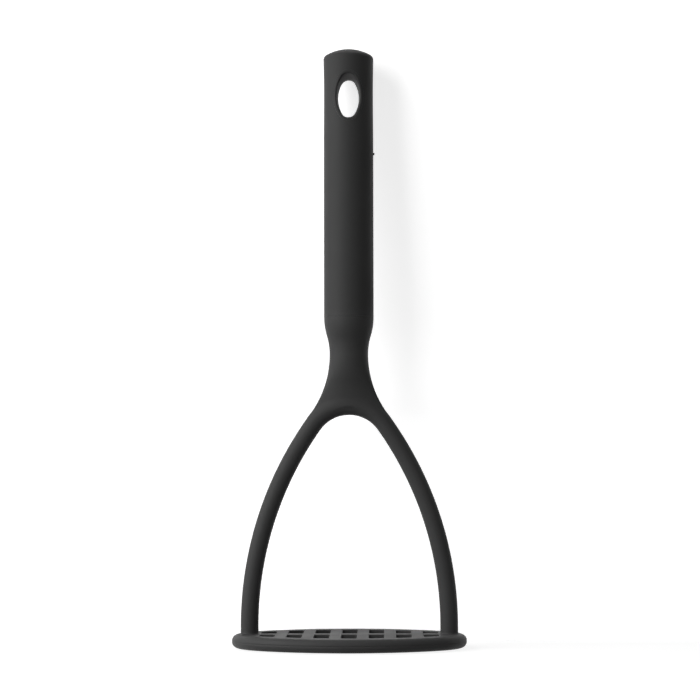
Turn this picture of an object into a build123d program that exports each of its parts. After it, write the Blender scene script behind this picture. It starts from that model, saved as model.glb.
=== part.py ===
from build123d import *
import os
from dataclasses import dataclass
from math import cos, hypot, radians, sin, sqrt

# Potato masher, millimetres. +Z is up the handle, X is the long way of the plate,
# and Y is front to back with the front at -Y. The plate's underside lies on Z = 0.

# Whole tool
cut_overrun = 1.0            # how far a cutter runs past what it cuts
joint_clearance = 0.05       # between pieces that are moulded or pressed together

# Masher plate
plate_length = 105.3
plate_width = 76.0
plate_thickness = 6.0
plate_end_share = 0.79       # radius of the oval's ends, of half its width
rim_band_height = 0.4        # parting groove round the middle of the rim
rim_groove_depth = 0.2
end_land = 7.65              # solid border at the plate's two ends
side_land = 10.0             # solid border at the front and the back
slot_field_end_share = 0.715
slot_width = 6.9
rib_width = 5.3              # lengthwise bar between two slots
spine_width = 7.8            # crosswise bar between the two rows
slot_corner_radius = 0.9
slot_lip_radius = 0.45       # rounding of the slots' top and bottom edges

# Arms and crown, which are one round hoop
arm_diameter = 8.0
foot_inset = 7.9             # from the plate's end to a foot's centre
arm_straight_height = 3.75   # upright part of each arm above the plate
arm_bend_radius = 156.0      # long inward curve of each arm
crown_bend_radius = 19.8     # top of the arch
peg_diameter = 5.0           # peg under each foot
peg_length = 4.2
peg_floor_gap = 0.2          # room under the peg in its socket

# Core wire in the hoop
wire_diameter = 3.4
wire_end_setback = 0.5       # the wire stops short of the pegs' ends

# Neck and yoke
neck_length = 16.83          # from the waist up to the handle
waist_half_width = 8.7
waist_half_depth = 7.7
flare_radius = 45.0          # hollow curve from the waist into the arms
collar_corner_angle = 50.0   # where a section's flank arc meets its end arc, in degrees
yoke_corner_angle = 72.0
yoke_bury = 0.12             # how far the yoke's web lies inside the round hoop
neck_section_count = 13

# Tang inside the handle
tang_width = 12.0
tang_depth = 9.0
tang_length = 55.0
tang_corner_radius = 1.5

# Handle
handle_length = 121.7
handle_radius = 11.2
handle_wall = 2.4
end_wall = 3.0               # wall at the handle's lower end
crown_wall = 2.4             # wall under the domed top
dome_rise = 3.5
dome_edge_radius = 2.3
top_radius = 11.35           # at the foot of the dome
grip_waist_radius = 11.1
grip_waist_drop = 21.0       # from the top of the handle to the faint waist
grip_plain_drop = 44.0       # from the top down to where the handle is a plain cylinder
nub_rise = 74.0              # moulding nub on the right side, above the collar
nub_radius = 0.6

# Seam lip, tang ribs and posts inside the handle
seam_lip_height = 1.0        # lip of the front half inside the rear half
seam_lip_thickness = 1.0
seam_lip_end_gap = 2.0       # plain seam left at both ends of the lip
rib_thickness = 2.0
rib_count = 3
post_diameter = 6.0
post_pin_diameter = 3.0
post_pin_length = 3.0
upper_post_gap = 12.0        # from the tang's top to the third pair of posts

# Hang hole and its sleeve
hole_drop = 22.4             # from the top of the handle to the hole's centre
throat_height = 17.3         # narrowest part of the passage, in its middle
throat_width = 9.3
mouth_height = 20.2          # where the drafted passage meets the handle's outside
mouth_width = 11.0
hole_end_share = 0.6         # radius of the ovals' ends, of half their width
liner_wall = 1.4             # sleeve round its mouths
liner_lip_share = 0.75       # rounding of the sleeve's lips, of its wall
liner_shoulder = 1.0         # step that traps the sleeve between the two halves

# Sizes that follow from the ones above
arm_radius = arm_diameter / 2
arm_outer_radius = arm_bend_radius + arm_radius
foot_x = plate_length / 2 - foot_inset
arm_bend_height = plate_thickness + arm_straight_height
arm_bend_centre_x = foot_x - arm_bend_radius
crown_lean_cosine = -arm_bend_centre_x / (arm_bend_radius - crown_bend_radius)
crown_lean_sine = sqrt(1 - crown_lean_cosine**2)
crown_centre_height = arm_bend_height + (arm_bend_radius - crown_bend_radius) * crown_lean_sine
crown_top_height = crown_centre_height + crown_bend_radius
yoke_foot_height = crown_centre_height + crown_bend_radius * crown_lean_sine

slot_pitch = slot_width + rib_width
column_reach = foot_x - arm_radius - slot_width / 2
columns_each_side = int(column_reach / slot_pitch)

flare_centre_x = waist_half_width + flare_radius
flare_run = flare_centre_x - arm_bend_centre_x
flare_rise = sqrt((arm_outer_radius + flare_radius) ** 2 - flare_run**2)
waist_height = arm_bend_height + flare_rise
flare_join_height = arm_bend_height + flare_rise * arm_outer_radius / (arm_outer_radius + flare_radius)

collar_height = waist_height + neck_length
overall_height = collar_height + handle_length
dome_foot_height = overall_height - dome_rise
dome_radius = (top_radius**2 + dome_rise**2) / (2 * dome_rise)
dome_centre_height = overall_height - dome_radius
cavity_radius = handle_radius - handle_wall
cavity_floor_height = collar_height + end_wall
cavity_top_height = dome_centre_height + sqrt(dome_radius**2 - cavity_radius**2) - crown_wall
tang_top_height = collar_height + tang_length
hole_height = overall_height - hole_drop


def four_arc_face(half_length, half_width, corner_x, corner_y):
    """Oval face of four arcs that meet at the corner point and its three mirror images."""
    corners = [(corner_x, corner_y), (-corner_x, corner_y), (-corner_x, -corner_y), (corner_x, -corner_y)]
    middles = [(0, half_width), (-half_length, 0), (0, -half_width), (half_length, 0)]
    ends = corners[1:] + corners[:1]
    arcs = [ThreePointArc(start, middle, end) for start, middle, end in zip(corners, middles, ends)]
    return make_face(Curve() + arcs)


def oval(half_length, half_width, end_radius):
    """Oval whose arcs join smoothly, given the radius of its two ends."""
    run = half_length - end_radius
    side_radius = (run**2 + half_width**2 - end_radius**2) / (2 * (half_width - end_radius))
    reach = side_radius - end_radius
    corner_x = side_radius * run / reach
    corner_y = half_width - side_radius + side_radius * (side_radius - half_width) / reach
    return four_arc_face(half_length, half_width, corner_x, corner_y)


def neck_section(half_width, half_depth, corner_angle):
    """Oval whose arcs join smoothly, given the angle at which its flanks meet its ends."""
    angle = radians(corner_angle)
    spread = (half_width - half_depth) / (sin(angle) + cos(angle) - 1)
    end_radius = half_width - spread * cos(angle)
    corner_x = half_width - end_radius + end_radius * cos(angle)
    corner_y = end_radius * sin(angle)
    return four_arc_face(half_width, half_depth, corner_x, corner_y)


def s_curve(height, low_height, high_height, low_value, high_value):
    """Value at a height on an S of two equal arcs, upright at both of its ends."""
    run = (high_height - low_height) / 2
    rise = abs(high_value - low_value) / 2
    way = 1 if high_value > low_value else -1
    arc_radius = (run**2 + rise**2) / (2 * rise)
    if height <= low_height + run:
        step = height - low_height
        return low_value + way * (arc_radius - sqrt(arc_radius**2 - step**2))
    step = high_height - height
    return high_value - way * (arc_radius - sqrt(arc_radius**2 - step**2))


def neck_half_width(height):
    """Half width of the neck and yoke, seen from the front."""
    if height >= waist_height:
        return s_curve(height, waist_height, collar_height, waist_half_width, handle_radius)
    if height >= flare_join_height:
        return flare_centre_x - sqrt(flare_radius**2 - (waist_height - height) ** 2)
    return arm_bend_centre_x + sqrt(arm_outer_radius**2 - (height - arm_bend_height) ** 2)


def neck_half_depth(height):
    """Half depth of the neck and yoke, seen from the side."""
    web_half_depth = arm_radius - yoke_bury
    if height >= waist_height:
        return s_curve(height, waist_height, collar_height, waist_half_depth, handle_radius)
    if height >= crown_top_height:
        return s_curve(height, crown_top_height, waist_height, web_half_depth, waist_half_depth)
    return web_half_depth


def cylinder_along_y(diameter, y_start, y_end, z):
    """Round bar on the middle plane X = 0, from y_start to y_end."""
    start = Plane(origin=(0, y_start, z), x_dir=(1, 0, 0), z_dir=(0, 1, 0))
    return extrude(start * Circle(diameter / 2), y_end - y_start)


def peg(diameter, length, side):
    """Upright round bar that hangs down from the plate's top under one foot."""
    bar = Cylinder(diameter / 2, length, align=(Align.CENTER, Align.CENTER, Align.MAX))
    return Pos(side * foot_x, 0, plate_thickness) * bar


def rib_heights():
    """Middle heights of the ribs that hold the tang, evenly spread along it."""
    first = cavity_floor_height + rib_thickness
    last = tang_top_height - 2 * rib_thickness
    return [first + (last - first) * index / (rib_count - 1) for index in range(rib_count)]


def tang_post_heights():
    """Heights of the posts that go through the tang, midway between the ribs."""
    heights = rib_heights()
    return [(low + high) / 2 for low, high in zip(heights, heights[1:])]


def hoop_path(foot_height):
    """Centreline of the hoop, from the left foot over the crown to the right foot."""
    half_lean_cosine = sqrt((1 + crown_lean_cosine) / 2)
    half_lean_sine = sqrt((1 - crown_lean_cosine) / 2)
    bend_mid_x = arm_bend_centre_x + arm_bend_radius * half_lean_cosine
    bend_mid_height = arm_bend_height + arm_bend_radius * half_lean_sine
    right = [
        Vector(foot_x, 0, foot_height),
        Vector(foot_x, 0, arm_bend_height),
        Vector(bend_mid_x, 0, bend_mid_height),
        Vector(crown_bend_radius * crown_lean_cosine, 0, yoke_foot_height),
    ]
    left = [Vector(-point.X, 0, point.Z) for point in right]
    crown_top = Vector(0, 0, crown_top_height)
    return Wire(
        [
            Edge.make_line(left[0], left[1]),
            Edge.make_three_point_arc(left[1], left[2], left[3]),
            Edge.make_three_point_arc(left[3], crown_top, right[3]),
            Edge.make_three_point_arc(right[3], right[2], right[1]),
            Edge.make_line(right[1], right[0]),
        ]
    )


def hoop(diameter, foot_height):
    """Round bar along the hoop's centreline."""
    start = Plane(origin=(-foot_x, 0, foot_height), z_dir=(0, 0, 1))
    return sweep(start * Circle(diameter / 2), path=hoop_path(foot_height))


def masher_plate():
    """Oval plate with a full-round rim, two rows of slots and a blind socket for each foot."""
    half_length = plate_length / 2
    half_width = plate_width / 2
    end_radius = half_width * plate_end_share
    plate = extrude(oval(half_length, half_width, end_radius), plate_thickness)
    rim_radius = (plate_thickness - rim_band_height) / 2
    levels = plate.edges().group_by(Axis.Z)
    plate = fillet(levels[0] + levels[-1], rim_radius)

    outside = oval(half_length + cut_overrun, half_width + cut_overrun, end_radius + cut_overrun)
    groove_floor = oval(
        half_length - rim_groove_depth, half_width - rim_groove_depth, end_radius - rim_groove_depth
    )
    plate -= Pos(0, 0, rim_radius) * extrude(outside - groove_floor, rim_band_height)

    field_half_width = half_width - side_land
    field = oval(half_length - end_land, field_half_width, field_half_width * slot_field_end_share)
    slot_length = field_half_width - spine_width / 2
    row_y = (field_half_width + spine_width / 2) / 2
    for column in range(-columns_each_side, columns_each_side + 1):
        for side in (-1, 1):
            slot = Pos(column * slot_pitch, side * row_y) * Rectangle(slot_width, slot_length) & field
            slot = fillet(slot.vertices(), slot_corner_radius)
            plate -= extrude(slot, plate_thickness)

    faces = plate.faces().sort_by(Axis.Z)
    lips = [edge for face in (faces[0], faces[-1]) for wire in face.inner_wires() for edge in wire.edges()]
    plate = fillet(lips, slot_lip_radius)
    for side in (-1, 1):
        plate -= peg(peg_diameter + 2 * joint_clearance, peg_length + peg_floor_gap, side)
    return plate


def yoke():
    """Neck and yoke, lofted from the round collar down to the top of the arms."""
    sections = []
    last = neck_section_count - 1
    for index in range(neck_section_count):
        way_down = index / last
        height = collar_height - way_down * (collar_height - yoke_foot_height)
        corner_angle = collar_corner_angle + way_down * (yoke_corner_angle - collar_corner_angle)
        bury = yoke_bury if index == last else 0
        section = neck_section(neck_half_width(height) - bury, neck_half_depth(height) - bury, corner_angle)
        sections.append(Pos(0, 0, height) * section)
    arch = cylinder_along_y(2 * crown_bend_radius, -handle_radius, handle_radius, crown_centre_height)
    return loft(sections) - arch


def tang():
    """Flat bar that stands up from the neck inside the handle, with holes for the posts."""
    bar = extrude(RectangleRounded(tang_width, tang_depth, tang_corner_radius), tang_length)
    bar = Pos(0, 0, collar_height) * fillet(bar.edges().group_by(Axis.Z)[-1], tang_corner_radius)
    for height in tang_post_heights():
        bar -= cylinder_along_y(post_diameter + 2 * joint_clearance, -tang_depth, tang_depth, height)
    return bar


def wishbone_frame():
    """One moulding: pegs, arms, crown, yoke, neck and tang, hollow where the core wire runs."""
    frame = hoop(arm_diameter, plate_thickness) + yoke() + tang()
    frame += [peg(peg_diameter, peg_length, side) for side in (-1, 1)]
    return frame - hoop(wire_diameter + 2 * joint_clearance, plate_thickness - peg_length)


def core_wire():
    """Steel wire inside the arms and the crown, from peg to peg."""
    return hoop(wire_diameter, plate_thickness - peg_length + wire_end_setback)


def handle_outside():
    """Outside of the handle as one turned body: cylinder, faint waist and domed top."""
    bottom = collar_height + joint_clearance
    plain_top = overall_height - grip_plain_drop
    grip_waist = (grip_waist_radius, overall_height - grip_waist_drop)
    dome_middle = (top_radius / 2, dome_centre_height + sqrt(dome_radius**2 - (top_radius / 2) ** 2))
    outline = [
        Line((0, bottom), (handle_radius, bottom)),
        Line((handle_radius, bottom), (handle_radius, plain_top)),
        ThreePointArc((handle_radius, plain_top), grip_waist, (top_radius, dome_foot_height)),
        ThreePointArc((top_radius, dome_foot_height), dome_middle, (0, overall_height)),
        Line((0, overall_height), (0, bottom)),
    ]
    body = revolve(Plane.XZ * make_face(Curve() + outline), Axis.Z)
    rim = [edge for edge in body.edges() if abs(edge.center().Z - dome_foot_height) < dome_edge_radius]
    return fillet(rim, dome_edge_radius)


def handle_cavity(shrink=0.0):
    """Round hollow inside the handle, drawn in all round by shrink."""
    hollow_height = cavity_top_height - cavity_floor_height - 2 * shrink
    hollow = Cylinder(cavity_radius - shrink, hollow_height, align=(Align.CENTER, Align.CENTER, Align.MIN))
    return Pos(0, 0, cavity_floor_height + shrink) * hollow


def hole_plane(y):
    """Plane across the hang hole, with its first axis up the handle."""
    return Plane(origin=(0, y, hole_height), x_dir=(0, 0, 1), z_dir=(0, 1, 0))


def hole_bar(grow):
    """Oval bar along Y as large as the hang hole's mouths, grown all round."""
    end_radius = mouth_width / 2 * hole_end_share
    face = oval(mouth_height / 2 + grow, mouth_width / 2 + grow, end_radius + grow)
    return extrude(hole_plane(-2 * handle_radius) * face, 4 * handle_radius)


def throat():
    """Passage through the sleeve, narrowest in its middle and drafted out to both mouths."""
    sections = []
    for reach in (-handle_radius - cut_overrun, 0, handle_radius + cut_overrun):
        draft_share = abs(reach) / handle_radius
        half_height = (throat_height + (mouth_height - throat_height) * draft_share) / 2
        half_width = (throat_width + (mouth_width - throat_width) * draft_share) / 2
        sections.append(hole_plane(reach) * oval(half_height, half_width, half_width * hole_end_share))
    return loft(sections, ruled=True)


def tang_opening():
    """Room round the tang in the handle's end wall and ribs."""
    width = tang_width + 2 * joint_clearance
    depth = tang_depth + 2 * joint_clearance
    opening = extrude(RectangleRounded(width, depth, tang_corner_radius), tang_length)
    return Pos(0, 0, collar_height) * opening


def half_space(side):
    """Block on one side of the parting plane: side -1 is the front, 1 the rear."""
    along_y = Align.MIN if side > 0 else Align.MAX
    block = Box(4 * handle_radius, 2 * handle_radius, handle_length, align=(Align.CENTER, along_y, Align.MIN))
    return Pos(0, 0, collar_height) * block


def seam_lip(grow=0.0):
    """Strip along the inside of the seam on the right and on the left, grown all round."""
    low = cavity_floor_height + seam_lip_end_gap - grow
    high = cavity_top_height - seam_lip_end_gap + grow
    ring = Cylinder(cavity_radius + seam_lip_thickness + grow, high - low)
    ring -= Cylinder(cavity_radius - grow, high - low)
    slab_align = (Align.CENTER, Align.MIN, Align.CENTER)
    slab = Box(4 * handle_radius, seam_lip_height + grow, high - low, align=slab_align)
    return Pos(0, 0, (low + high) / 2) * (ring & slab)


def handle_inside():
    """End wall, ribs and posts of both halves before they are parted."""
    walls = handle_outside() - handle_cavity()
    for height in rib_heights():
        walls += Pos(0, 0, height) * Cylinder(cavity_radius + handle_wall / 2, rib_thickness)
    walls -= tang_opening()
    reach = cavity_radius + handle_wall / 2
    for height in tang_post_heights() + [tang_top_height + upper_post_gap]:
        walls += cylinder_along_y(post_diameter, -reach, reach, height)
    return walls - hole_bar(liner_wall + joint_clearance)


def handle_front_shell(both_halves):
    """Front half: it has the seam's lip, the pins of the posts and the moulding nub."""
    shell = both_halves & half_space(-1)
    shell += seam_lip() - hole_bar(liner_wall + liner_shoulder + joint_clearance)
    for height in tang_post_heights() + [tang_top_height + upper_post_gap]:
        shell += cylinder_along_y(post_pin_diameter, -post_pin_length, post_pin_length, height)
    nub = Pos(handle_radius, 0, collar_height + nub_rise) * Sphere(nub_radius)
    return shell + (nub & half_space(-1))


def handle_rear_shell(both_halves):
    """Rear half: it has the groove for the seam's lip and the holes for the pins."""
    shell = both_halves & half_space(1)
    shell -= seam_lip(joint_clearance)
    pin_hole_diameter = post_pin_diameter + 2 * joint_clearance
    pin_hole_depth = post_pin_length + peg_floor_gap
    for height in tang_post_heights() + [tang_top_height + upper_post_gap]:
        shell -= cylinder_along_y(pin_hole_diameter, 0, pin_hole_depth, height)
    return shell


def is_mouth_edge(edge):
    """True for an edge that runs round a mouth of the hole on the outside of the handle."""
    centre = edge.center()
    across = centre.X / (mouth_width / 2 + liner_wall / 2)
    along = (centre.Z - hole_height) / (mouth_height / 2 + liner_wall / 2)
    return abs(centre.Y) > cavity_radius and hypot(across, along) < 1


def hang_hole_liner():
    """Oval sleeve through the handle, flush with it outside and stepped inside."""
    sleeve = hole_bar(liner_wall) & handle_outside()
    sleeve += hole_bar(liner_wall + liner_shoulder) & handle_cavity(joint_clearance)
    sleeve -= throat()
    return fillet([edge for edge in sleeve.edges() if is_mouth_edge(edge)], liner_wall * liner_lip_share)


if __name__ == "__main__":
    os.makedirs("parts", exist_ok=True)
    handle_halves = handle_inside()
    parts = {
        "masher_plate": masher_plate(),
        "wishbone_frame": wishbone_frame(),
        "core_wire": core_wire(),
        "handle_front_shell": handle_front_shell(handle_halves),
        "handle_rear_shell": handle_rear_shell(handle_halves),
        "hang_hole_liner": hang_hole_liner(),
    }
    for name, solid in parts.items():
        export_step(solid, f"parts/{name}.step")
        print(name, len(solid.solids()), "solid", round(solid.volume), "mm3")
    print("overall height", round(overall_height, 2), "mm")
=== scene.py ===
"""Potato masher of matt black moulded nylon, dressed for its picture.

The tool stands on its masher plate. +Z is up the handle, X is the long way of the plate and
Y is front to back, with the front at -Y. Sizes are millimetres, and meshes are written in metres.
"""

import logging
import math
from dataclasses import dataclass
from enum import Enum

import bmesh
import bpy
import numpy as np
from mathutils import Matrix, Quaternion, Vector
from mathutils.geometry import tessellate_polygon


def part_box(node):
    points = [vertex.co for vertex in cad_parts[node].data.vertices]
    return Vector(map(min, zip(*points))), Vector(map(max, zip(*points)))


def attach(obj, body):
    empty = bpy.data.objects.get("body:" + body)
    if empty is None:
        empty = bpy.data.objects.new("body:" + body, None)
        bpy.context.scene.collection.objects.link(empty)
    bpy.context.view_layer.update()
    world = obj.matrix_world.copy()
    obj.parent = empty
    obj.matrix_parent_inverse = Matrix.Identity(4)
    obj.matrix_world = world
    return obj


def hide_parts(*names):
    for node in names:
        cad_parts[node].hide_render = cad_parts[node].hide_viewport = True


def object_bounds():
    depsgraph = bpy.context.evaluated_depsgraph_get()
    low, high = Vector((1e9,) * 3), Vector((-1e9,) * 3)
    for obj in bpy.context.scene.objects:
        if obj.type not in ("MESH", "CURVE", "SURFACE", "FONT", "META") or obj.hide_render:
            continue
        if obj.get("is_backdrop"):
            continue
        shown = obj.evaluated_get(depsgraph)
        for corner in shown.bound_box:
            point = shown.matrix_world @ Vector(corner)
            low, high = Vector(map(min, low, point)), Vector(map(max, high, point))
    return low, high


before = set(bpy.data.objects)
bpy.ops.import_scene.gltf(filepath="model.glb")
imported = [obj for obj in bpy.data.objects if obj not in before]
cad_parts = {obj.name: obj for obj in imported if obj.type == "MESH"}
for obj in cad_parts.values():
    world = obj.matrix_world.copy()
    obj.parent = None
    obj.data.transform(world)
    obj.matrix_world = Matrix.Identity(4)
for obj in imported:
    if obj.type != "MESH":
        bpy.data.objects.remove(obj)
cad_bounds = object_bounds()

MM = 0.001
BODY = "root"

# Two coordinates in a plane, or an offset with its height.
Pair = tuple[float, float]

log = logging.getLogger("masher")


class Half(Enum):
    """A half of the handle, by the way it faces along Y."""

    FRONT = -1
    REAR = 1


class Cut(Enum):
    """The side of a level that is cut away."""

    BELOW = -1
    ABOVE = 1


def node_box(node: str) -> tuple[Vector, Vector]:
    """Lowest and highest corner of a solid of the frame, in millimetres."""
    low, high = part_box(node)
    return low / MM, high / MM


def arc(centre: Pair, radius: float, start: float, end: float, steps: int) -> list[Pair]:
    """Points in equal steps along an arc, both ends included, between two angles in degrees."""
    angles = np.radians(np.linspace(start, end, steps + 1))
    return [(centre[0] + radius * math.cos(a), centre[1] + radius * math.sin(a)) for a in angles]


@dataclass
class Outline:
    """Closed line in the plane, with the way out at each of its points."""

    points: np.ndarray
    normals: np.ndarray

    def offset(self, distance: float) -> np.ndarray:
        """The line's points, moved outwards by a distance."""
        return self.points + distance * self.normals

    def mirrored(self) -> "Outline":
        """The same line on the other side of the first axis."""
        flip = np.array([1.0, -1.0])
        return Outline(self.points[::-1] * flip, self.normals[::-1] * flip)


@dataclass(frozen=True)
class Oval:
    """Oval of four arcs that join smoothly, about the origin of its own plane."""

    half_length: float
    half_width: float
    end_radius: float

    @property
    def run(self) -> float:
        """Distance from the middle to the centre of an end arc."""
        return self.half_length - self.end_radius

    @property
    def side_radius(self) -> float:
        """Radius of the two long arcs."""
        squares = self.run**2 + self.half_width**2 - self.end_radius**2
        return squares / (2 * (self.half_width - self.end_radius))

    @property
    def side_drop(self) -> float:
        """Distance from the middle to the centre of a long arc."""
        return self.side_radius - self.half_width

    @property
    def corner_angle(self) -> float:
        """Angle of the way out where an end arc meets a long arc."""
        return math.atan2(self.side_drop, self.run)

    def inset(self, depth: float) -> "Oval":
        """The oval drawn in all round."""
        return Oval(self.half_length - depth, self.half_width - depth, self.end_radius - depth)

    def point(self, angle: float) -> Pair:
        """Point of the oval whose way out has a given angle, in radians."""
        across, up = math.cos(angle), math.sin(angle)
        if abs(up) < math.sin(self.corner_angle):
            return math.copysign(self.run, across) + self.end_radius * across, self.end_radius * up
        return self.side_radius * across, self.side_radius * up - math.copysign(self.side_drop, up)

    def upper_angle_at(self, x: float) -> float:
        """Angle of the way out on the upper half at a place along the oval, in radians."""
        if abs(x) < self.side_radius * math.cos(self.corner_angle):
            return math.acos(x / self.side_radius)
        return math.acos((x - math.copysign(self.run, x)) / self.end_radius)

    def outline_at(self, angles: np.ndarray) -> Outline:
        """The oval as an outline through its points with the given ways out."""
        points = np.array([self.point(angle) for angle in angles])
        return Outline(points, np.column_stack([np.cos(angles), np.sin(angles)]))

    def outline(self, spacing: float) -> Outline:
        """The oval as an outline with evenly spread points.

        Args:
            spacing: Wanted distance between two points.

        Returns:
            The outline, which starts where the lower right end arc does.
        """
        corner = self.corner_angle
        end_steps = max(6, round(2 * corner * self.end_radius / spacing))
        side_steps = max(6, round((math.pi - 2 * corner) * self.side_radius / spacing))
        stops = [-corner, corner, math.pi - corner, math.pi + corner, 2 * math.pi - corner]
        counts = [end_steps, side_steps, end_steps, side_steps]
        parts = [
            np.linspace(start, end, count, endpoint=False)
            for start, end, count in zip(stops, stops[1:], counts)
        ]
        return self.outline_at(np.concatenate(parts))


def circle_outline(centre: Pair, count: int) -> Outline:
    """Outline of no size about a point, which an offset opens to a circle with that count of points."""
    angles = np.linspace(0, 2 * math.pi, count, endpoint=False)
    return Outline(np.tile(centre, (count, 1)), np.column_stack([np.cos(angles), np.sin(angles)]))


class MeshBuilder:
    """Collects points in millimetres, and the faces between them."""

    def __init__(self) -> None:
        """Starts empty."""
        self.points: list[tuple[float, float, float]] = []
        self.faces: list[tuple[int, ...]] = []

    def add(self, points: np.ndarray) -> list[int]:
        """Adds points, given as rows of three coordinates, and returns their numbers."""
        first = len(self.points)
        self.points.extend(tuple(float(value) for value in point) for point in points)
        return list(range(first, len(self.points)))

    def bridge(self, low: list[int], high: list[int], closed: bool = True) -> None:
        """Joins two rows of as many points with four-sided faces, as rings if closed."""
        count = len(low)
        for index in range(count if closed else count - 1):
            following = (index + 1) % count
            self.faces.append((low[index], low[following], high[following], high[index]))

    def stack(self, rings: list[list[int]]) -> None:
        """Joins each ring of a stack to the next."""
        for low, high in zip(rings, rings[1:]):
            self.bridge(low, high)

    def cap(self, rings: list[list[int]]) -> None:
        """Fills the first and the last ring of a stack."""
        self.fill([rings[0]])
        self.fill([rings[-1]])

    def fill(self, rings: list[list[int]]) -> None:
        """Fills the flat region between an outer ring, given first, and the rings of its holes."""
        loops = [[Vector(self.points[number]) for number in ring] for ring in rings]
        numbers = [number for ring in rings for number in ring]
        for corners in tessellate_polygon(loops):
            self.faces.append(tuple(numbers[corner] for corner in corners))

    def sweep(self, outline: Outline, profile: list[Pair]) -> list[list[int]]:
        """Sweeps a profile round an outline that lies level.

        Args:
            outline: Outline in X and Y.
            profile: Steps of the profile, each an offset from the outline and a height.

        Returns:
            The rings of points, in the order of the profile.
        """
        rings = []
        for offset, height in profile:
            flat = outline.offset(offset)
            rings.append(self.add(np.column_stack([flat, np.full(len(flat), height)])))
        self.stack(rings)
        return rings

    def build(self, name: str, sharp_angle: float = 40.0) -> bpy.types.Object:
        """Makes the object, with its faces turned outwards and smooth.

        Args:
            name: Name of the object.
            sharp_angle: Edges that turn by more than this are sharp, in degrees.

        Returns:
            The object, in the scene.
        """
        mesh = bpy.data.meshes.new(name)
        mesh.from_pydata([tuple(value * MM for value in point) for point in self.points], [], self.faces)
        work = bmesh.new()
        work.from_mesh(mesh)
        bmesh.ops.remove_doubles(work, verts=work.verts, dist=1e-4 * MM)
        bmesh.ops.recalc_face_normals(work, faces=work.faces)
        work.to_mesh(mesh)
        work.free()
        mesh.shade_smooth()
        mesh.set_sharp_from_angle(angle=math.radians(sharp_angle))
        piece = bpy.data.objects.new(name, mesh)
        bpy.context.scene.collection.objects.link(piece)
        return piece


def dress(piece: bpy.types.Object, material: bpy.types.Material) -> None:
    """Gives a piece, or a solid of the frame, one material all over."""
    piece.data.materials.clear()
    piece.data.materials.append(material)


def feed(node: bpy.types.Node, inputs: dict[str | int, object]) -> None:
    """Sets a node's inputs.

    Args:
        node: The node.
        inputs: A value, or the socket to link from, for each input by its name or number.
    """
    for key, given in inputs.items():
        if isinstance(given, bpy.types.NodeSocket):
            node.id_data.links.new(given, node.inputs[key])
        else:
            node.inputs[key].default_value = given


def add_node(
    tree: bpy.types.NodeTree, kind: str, inputs: dict[str | int, object] | None = None, **settings: object
) -> bpy.types.Node:
    """Adds a shader node.

    Args:
        tree: Tree that gets the node.
        kind: Blender's name for the kind of node.
        inputs: A value, or the socket to link from, for each input by its name or number.
        **settings: Properties of the node, by name.

    Returns:
        The node.
    """
    made = tree.nodes.new(kind)
    for name, value in settings.items():
        setattr(made, name, value)
    feed(made, inputs or {})
    return made


def new_material(name: str) -> bpy.types.Material:
    """Adds a material with Blender's own first nodes."""
    made = bpy.data.materials.new(name)
    made.use_nodes = True
    return made


def add_noise(tree: bpy.types.NodeTree, size: bpy.types.NodeSocket, detail: float) -> bpy.types.NodeSocket:
    """Adds a noise in the piece's own space.

    Args:
        tree: Tree that gets the nodes.
        size: Socket that gives the size of the noise.
        detail: Amount of finer noise within it.

    Returns:
        The socket that puts the noise out.
    """
    place = add_node(tree, "ShaderNodeTexCoord")
    scale = add_node(tree, "ShaderNodeMath", {0: 1.0, 1: size}, operation="DIVIDE")
    inputs = {"Vector": place.outputs["Object"], "Scale": scale.outputs[0], "Detail": detail}
    return add_node(tree, "ShaderNodeTexNoise", inputs).outputs["Fac"]


def add_sight(tree: bpy.types.NodeTree) -> bpy.types.NodeSocket:
    """Adds a mask that is 1 for what is in view, in sheen or seen through glass, and 0 for light.

    Args:
        tree: Tree that gets the nodes.

    Returns:
        The socket that puts the mask out.
    """
    rays = add_node(tree, "ShaderNodeLightPath").outputs
    mask = rays["Is Camera Ray"]
    for kind in ("Is Glossy Ray", "Is Transmission Ray"):
        mask = add_node(tree, "ShaderNodeMath", {0: mask, 1: rays[kind]}, operation="MAXIMUM").outputs[0]
    return mask


class ShaderGroup:
    """Shader node group that is made at its first use and shared from then on."""

    NAME = ""

    @classmethod
    def get(cls) -> bpy.types.ShaderNodeTree:
        """The group, made at its first use."""
        return bpy.data.node_groups.get(cls.NAME) or cls.make()

    @classmethod
    def make(cls) -> bpy.types.ShaderNodeTree:
        """Builds the group. Each kind of group has its own way."""
        raise NotImplementedError

    @classmethod
    def start(cls, inputs: dict[str, float], outputs: tuple[str, ...]) -> bpy.types.ShaderNodeTree:
        """Starts the group with its sockets alone.

        Args:
            inputs: Value of each input, by name.
            outputs: Names of the outputs.

        Returns:
            The group.
        """
        tree = bpy.data.node_groups.new(cls.NAME, "ShaderNodeTree")
        for name, value in inputs.items():
            socket = tree.interface.new_socket(name, in_out="INPUT", socket_type="NodeSocketFloat")
            socket.default_value = value
        for name in outputs:
            tree.interface.new_socket(name, in_out="OUTPUT", socket_type="NodeSocketFloat")
        return tree


class GrainGroup(ShaderGroup):
    """The fine spark-eroded grain of a mould, and soft clouds of gloss."""

    NAME = "moulded_grain"

    @classmethod
    def make(cls) -> bpy.types.ShaderNodeTree:
        """Builds the group, which puts out the grain's height and the clouds' mask."""
        tree = cls.start({"Grain Size": 0.3 * MM, "Cloud Size": 18 * MM}, ("Height", "Cloud"))
        given, result = add_node(tree, "NodeGroupInput"), add_node(tree, "NodeGroupOutput")
        for size, output, detail in (("Grain Size", "Height", 3.0), ("Cloud Size", "Cloud", 2.0)):
            feed(result, {output: add_noise(tree, given.outputs[size], detail)})
        return tree


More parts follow.
